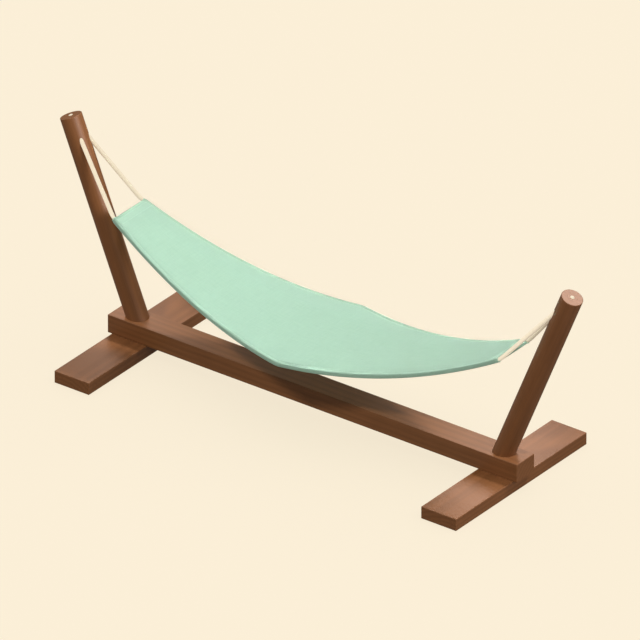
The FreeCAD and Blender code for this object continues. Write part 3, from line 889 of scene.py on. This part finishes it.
# Where the heart of the tree lay: from the frame's origin, a foot's middle or the top of a post
BEAM_PITH = Vector((0, 0.085, -0.05))
PEG_PITH = Vector((0.02, 0, 0.06))
FOOT_PITH = Vector((0.03, 0, -0.11))
POST_PITH = Vector((0, 0.022, 0))


def dress(node_name, material):
    """Gives a CAD node its finish"""
    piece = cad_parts[node_name]
    if not piece.material_slots:
        piece.data.materials.append(material)
    for slot in piece.material_slots:
        slot.material = material


def dress_stand():
    """Gives the pieces of the stand, and the rods in the bed's hems, their finishes"""
    steel = metal("zinc_plated_steel", "#9EA2A6", "#C9CCD0", STEEL_GRAIN)
    brass = metal("turned_brass", "#A98A45", "#CFB067", BRASS_GRAIN)
    dress("base_beam", stained_wood("stained_beech_beam", X_AXIS, BEAM_PITH))
    peg_wood = plain_beech("plain_beech_peg", Y_AXIS, PEG_PITH)
    for side, sign in SIDES:
        foot_low, foot_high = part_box(f"{side}_foot")
        foot_pith = (foot_low + foot_high) / 2 + mirrored(FOOT_PITH, sign, 1)
        dress(f"{side}_foot", stained_wood(f"stained_beech_{side}_foot", Y_AXIS, foot_pith))
        post_pith = mirrored(POST_TOP, sign, 1) + POST_PITH
        post_wood = stained_wood(f"stained_beech_{side}_post", post_axis(sign), post_pith)
        for piece in ("post", "post_cap"):
            dress(f"{side}_{piece}", post_wood)
        for piece in ("post_peg", "spreader_rod"):
            dress(f"{side}_{piece}", peg_wood)
        for piece in ("foot_bolts", "foot_washers"):
            dress(f"{side}_{piece}", steel)
        dress(f"{side}_foot_inserts", brass)


def make_bed():
    """Adds the padded bed with its stitches and eyelets, and gives these pieces"""
    canvas = cotton_canvas("mint_cotton_canvas")
    thread = sewing_thread("mint_sewing_thread")
    bed = padded_bed(canvas)
    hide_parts("bed_top_cover", "bed_wadding", "bed_bottom_panel")
    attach(bed, "hammock")
    stitches = topstitching(bed, thread)
    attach(stitches, "hammock")
    pieces = [bed, stitches]
    for side, side_sign in SIDES:
        for edge, edge_sign in EDGES:
            tail, inner = (mirrored(point, side_sign, edge_sign) for point in HEM_TAIL)
            axis = (inner - tail).normalized()
            rim = eyelet(f"{side}_{edge}_eyelet", tail - axis * EYELET_PROUD, axis, thread)
            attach(rim, "hammock")
            pieces.append(rim)
    return pieces


# Floor

FLOOR_HALF = 30
FLOOR_DROP = 0.2 * MM
FLOOR_CORNERS = ((-1, -1), (1, -1), (1, 1), (-1, 1))


def floor():
    """A wide plane just under the feet"""
    corners = [(x * FLOOR_HALF, y * FLOOR_HALF, -FLOOR_DROP) for x, y in FLOOR_CORNERS]
    ground = new_piece("floor", corners, [(0, 1, 2, 3)], matt_paper("matt_cream_paper"))
    ground.visible_diffuse = False
    ground.visible_glossy = False
    return ground


# Light

SKY_COLOUR = "#FFF6E6"
SKY_STRENGTH = 0.22
LAMP_COLOUR = "#FFDCC8"
ROPE_LIGHT_SPREAD = 170  # degrees, almost a whole half of the sky
ROPE_LIGHTS = (  # name, the direction it comes from and strength
    ("rope_top_light", (0, 0, 1), 1.85),
    ("rope_front_light", (0, -1, 0), 1.55),
    ("rope_rear_light", (0, 1, 0), 0.9),
)


def light_group(name, pieces, state):
    """A group of pieces that a light takes in alone, or leaves out"""
    group = bpy.data.collections.new(name)
    for piece in pieces:
        group.objects.link(piece)
    for entry in group.collection_objects:
        entry.light_linking.link_state = state
    return group


def nodes_only(name, *node_names):
    """A group of CAD nodes that a light takes in alone"""
    return light_group(name, [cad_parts[node_name] for node_name in node_names], "INCLUDE")


def sun(name, lit, towards, strength, spread, shadows=True):
    """Parallel light from a direction, spread over some degrees, on one group of pieces"""
    light = bpy.data.lights.new(name, "SUN")
    light.energy = strength
    light.angle = math.radians(spread)
    light.use_shadow = shadows
    lamp = bpy.data.objects.new(name, light)
    lamp.rotation_euler = Vector(towards).to_track_quat("Z", "Y").to_euler()
    lamp.light_linking.receiver_collection = lit
    bpy.context.scene.collection.objects.link(lamp)
    return lamp


def softbox(name, lit, place, target, width, power):
    """A warm round lamp that is seen only as a sheen, on one group of pieces or, with None, on all"""
    light = bpy.data.lights.new(name, "AREA")
    light.color = linear(LAMP_COLOUR)[:3]
    light.shape = "DISK"
    light.size = width
    light.energy = power
    lamp = bpy.data.objects.new(name, light)
    lamp.location = place
    lamp.rotation_euler = (Vector(place) - Vector(target)).to_track_quat("Z", "Y").to_euler()
    lamp.visible_camera = False
    lamp.visible_diffuse = False
    lamp.light_linking.receiver_collection = lit
    bpy.context.scene.collection.objects.link(lamp)


def sky():
    """An even warm light from all round"""
    world = bpy.data.worlds.new("studio")
    world.use_nodes = True
    background = world.node_tree.nodes["Background"]
    connect(world.node_tree, background, {"Color": linear(SKY_COLOUR), "Strength": SKY_STRENGTH})
    bpy.context.scene.world = world


def key_lights(ground, rope_pieces, bed_pieces):
    """Light on the stand and the bed; the floor and the ropes have their own"""
    lit_apart = [ground, *rope_pieces]
    bed_and_stand = light_group("bed_and_stand", lit_apart, "EXCLUDE")
    stand_only = light_group("stand_only", [*lit_apart, *bed_pieces], "EXCLUDE")
    bed_only = light_group("bed_only", bed_pieces, "INCLUDE")
    left_post = nodes_only("left_post_only", "left_post")
    posts = [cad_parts[f"{side}_post"] for side, _ in SIDES]
    rear = sun("rear_key", bed_and_stand, towards=(0.265, 0.63, 1), strength=2.3, spread=9)
    rear.light_linking.blocker_collection = light_group("posts_let_through", posts, "EXCLUDE")
    sun("front_key", stand_only, towards=(0, -0.81, 1), strength=1.7, spread=6)
    sun("bed_front_light", bed_only, towards=(0, -0.55, 1), strength=1.56, spread=6)
    sun("bed_bounce", bed_only, towards=(0, 0, -1), strength=0.9, spread=60, shadows=False)
    sun("right_key", bed_and_stand, towards=(1, 0, 0.35), strength=1.42, spread=30)
    sun("left_fill", bed_and_stand, towards=(-1, 0, 0.35), strength=0.85, spread=60, shadows=False)
    sun("left_post_light", left_post, towards=(0.92, -0.14, 0.37), strength=1.4, spread=20)


def floor_light(ground):
    """A wide soft light that gives the floor its faint shadow"""
    floor_only = light_group("floor_only", [ground], "INCLUDE")
    sun("floor_light", floor_only, towards=(0.1, 0.3, 1), strength=1.5, spread=100)


def rope_lights(rope_pieces):
    """Even light on the ropes, so that they stay pale"""
    ropes_only = light_group("ropes_only", rope_pieces, "INCLUDE")
    for name, towards, strength in ROPE_LIGHTS:
        sun(name, ropes_only, towards, strength, ROPE_LIGHT_SPREAD, shadows=False)


def sheens():
    """Lamps whose reflections give the lacquered wood its sheen"""
    boards = nodes_only("boards_only", "base_beam", "left_foot", "right_foot")
    right_foot = nodes_only("right_foot_only", "right_foot")
    softbox("right_board_sheen", boards, place=(0.08, 0.63, 0.5), target=(0.55, 0, 0.06),
            width=0.33, power=2.4)
    softbox("left_board_sheen", boards, place=(-1.06, 0.6, 0.5), target=(-0.62, -0.05, 0.06),
            width=0.35, power=2.0)
    softbox("right_post_sheen", None, place=(0.66, 1.75, 2.36), target=(0.73, 0, 0.56),
            width=0.8, power=58)
    softbox("left_post_sheen", None, place=(1.7, -0.6, 0.75), target=(-0.68, 0, 0.45),
            width=2.0, power=24)
    softbox("right_foot_sheen", right_foot, place=(0.02, 0.55, 0.52), target=(0.54, -0.15, 0.03),
            width=0.35, power=1.5)


# Camera

def photo_camera():
    """A far camera with a long lens, whose view is all but parallel"""
    data = bpy.data.cameras.new("camera")
    data.lens = LENS
    data.sensor_width = SENSOR
    data.clip_end = CAMERA_SIGHT
    camera = bpy.data.objects.new("camera", data)
    level = math.cos(CAMERA_ELEVATION)
    back = Vector((math.sin(CAMERA_AZIMUTH) * level, -math.cos(CAMERA_AZIMUTH) * level,
                   math.sin(CAMERA_ELEVATION)))
    camera.location = CAMERA_TARGET + back * (FRAME_WIDTH * LENS / SENSOR)
    camera.rotation_euler = back.to_track_quat("Z", "Y").to_euler()
    bpy.context.scene.collection.objects.link(camera)
    bpy.context.scene.camera = camera


bpy.context.scene.view_settings.view_transform = "Standard"
photo_camera()
dress_stand()
rope_pieces = ropes(cotton_rope("cream_cotton_rope"))
bed_pieces = make_bed()
ground = floor()
sky()
key_lights(ground, rope_pieces, bed_pieces)
floor_light(ground)
rope_lights(rope_pieces)
sheens()
